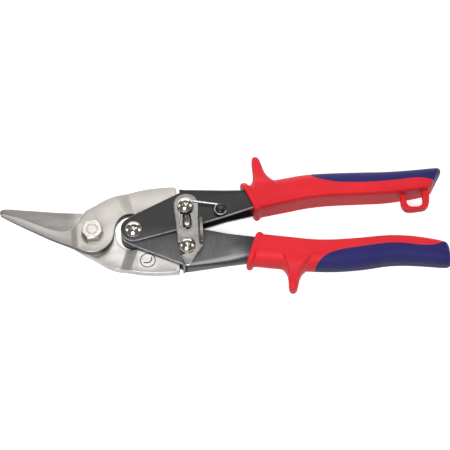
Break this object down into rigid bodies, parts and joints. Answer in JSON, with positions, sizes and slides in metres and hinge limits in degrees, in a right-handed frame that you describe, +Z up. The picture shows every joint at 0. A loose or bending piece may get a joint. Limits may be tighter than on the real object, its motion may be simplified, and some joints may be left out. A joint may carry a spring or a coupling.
{
  "type": "aviation snips",
  "caption": "Compound-action sheet-metal snips: crossed steel jaws driven by linked channel handles with two-tone finger-stop grips, a side latch and a hanging loop.",
  "frame": {"origin": "bottom centre of the bounding box, on the surface that the closed snips lie on", "axes": "+X from the jaws to the handles, +Y towards the handle with the hanging loop, +Z up, out of the side with the screw heads"},
  "size_m": [0.2494, 0.0834, 0.0207],
  "materials": {
    "narrow_blade": "satin nickel plate",
    "wide_blade": "satin nickel plate, ground inner face",
    "bright_fasteners": "bright nickel plate",
    "plain_fasteners": "zinc plate",
    "handle_enamel": "satin black",
    "grip_red": "smooth satin",
    "grip_navy": "soft matt",
    "spring_steel": "oiled",
    "spring_wire": "drawn wire",
    "latch_zinc": "tumbled zinc plate",
    "black_oxide": "black oxide"
  },
  "bodies": {
    "lower_handle": {"lower_handle": "handle_enamel", "lower_grip": "grip_red", "lower_grip_inlay": "grip_navy", "handle_pivot_screw": "bright_fasteners", "handle_pivot_sleeve": "plain_fasteners", "handle_pivot_nut": "plain_fasteners", "return_spring": "spring_steel", "lower_link_screw": "bright_fasteners", "lower_link_bush": "plain_fasteners", "lower_link_nut": "plain_fasteners"},
    "upper_handle": {"upper_handle": "handle_enamel", "upper_grip": "grip_red", "upper_grip_inlay": "grip_navy", "upper_link_screw": "bright_fasteners", "upper_link_bush": "plain_fasteners", "upper_link_nut": "plain_fasteners", "latch_bush": "plain_fasteners", "spring_post": "black_oxide", "latch_spring": "spring_wire"},
    "wide_blade": {"wide_blade": "wide_blade", "pivot_bolt": "bright_fasteners", "pivot_washer": "plain_fasteners", "pivot_nut": "plain_fasteners"},
    "narrow_blade": {"narrow_blade": "narrow_blade"},
    "latch": {"latch_plate": "latch_zinc"}
  },
  "joints": [
    {"name": "handle_open", "type": "hinge", "parent": "lower_handle", "child": "upper_handle", "pos_m": [-0.0502, -0.0014, 0.009], "axis": [0, 0, 1], "range_deg": [0, 36], "deforming": ["return_spring"]},
    {"name": "wide_blade_link", "type": "hinge", "parent": "lower_handle", "child": "wide_blade", "pos_m": [-0.0208, -0.0134, 0.009], "axis": [0, 0, 1], "range_deg": [0, 8.5]},
    {"name": "jaw_open", "type": "hinge", "parent": "wide_blade", "child": "narrow_blade", "pos_m": [-0.0732, -0.0014, 0.009], "axis": [0, 0, 1], "range_deg": [0, 19.5]},
    {"name": "latch_swing", "type": "hinge", "parent": "upper_handle", "child": "latch", "pos_m": [-0.0208, 0.0106, 0.016], "axis": [0, 0, 1], "range_deg": [0, 41], "deforming": ["latch_spring"]}
  ],
  "couplings": [
    {"joint": "wide_blade_link", "follows": "handle_open", "ratio": 0.232},
    {"joint": "jaw_open", "follows": "handle_open", "ratio": 0.535},
    {"joint": "latch_swing", "follows": "handle_open", "ratio": 1.13}
  ]
}
